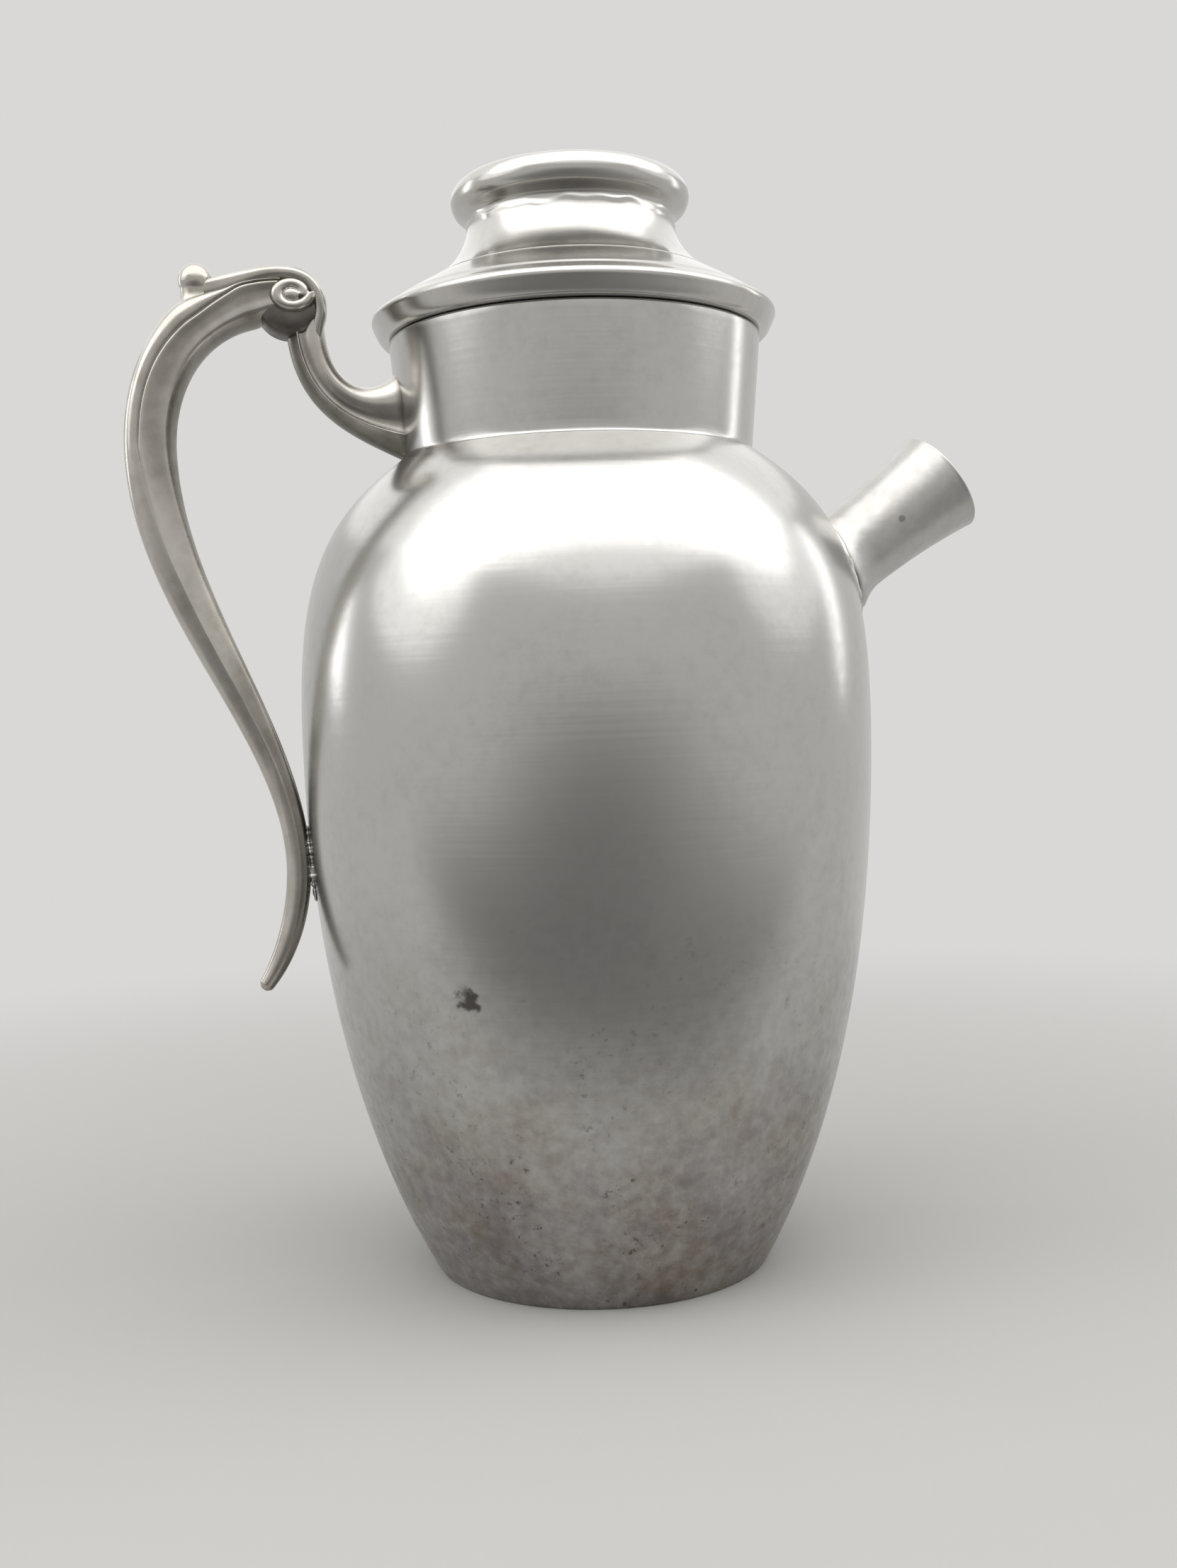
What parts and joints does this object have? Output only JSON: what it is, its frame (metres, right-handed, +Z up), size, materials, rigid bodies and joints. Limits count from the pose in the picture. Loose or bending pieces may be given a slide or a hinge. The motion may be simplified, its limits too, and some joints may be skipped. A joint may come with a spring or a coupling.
{
  "type": "lidded pouring jug",
  "caption": "Egg-shaped spun pewter jug with a flared neck, a slanted trumpet spout, a cast scroll handle with a thumb ball, and a lift-off lid with a broad waisted knob, for pouring drinks.",
  "frame": {"origin": "centre of the foot ring, on the plane that the jug stands on", "axes": "+Z up along the axis of the body, neck and lid, +X toward the spout, the handle toward -X"},
  "size_m": [0.2072, 0.1368, 0.2599],
  "materials": {
    "spun_pewter": "aged satin pewter with soft blurred reflections and a faint brown patina",
    "cast_pewter": "cast pewter, smooth on the ridges and darker in the hollows",
    "lid_pewter": "spun pewter, a little brighter than the body"
  },
  "bodies": {
    "jug": {"body_shell": "spun_pewter", "base_disc": "spun_pewter", "neck_collar": "spun_pewter", "spout_tube": "spun_pewter", "strainer_disc": "spun_pewter", "handle": "cast_pewter"},
    "lid": {"lid_flange": "lid_pewter", "lid_knob": "lid_pewter", "lid_top_disc": "lid_pewter", "lid_sleeve": "lid_pewter"}
  },
  "joints": [
    {"name": "lid_lift", "type": "slide", "parent": "jug", "child": "lid", "axis": [0, 0, 1], "range_m": [0, 0.12]}
  ]
}
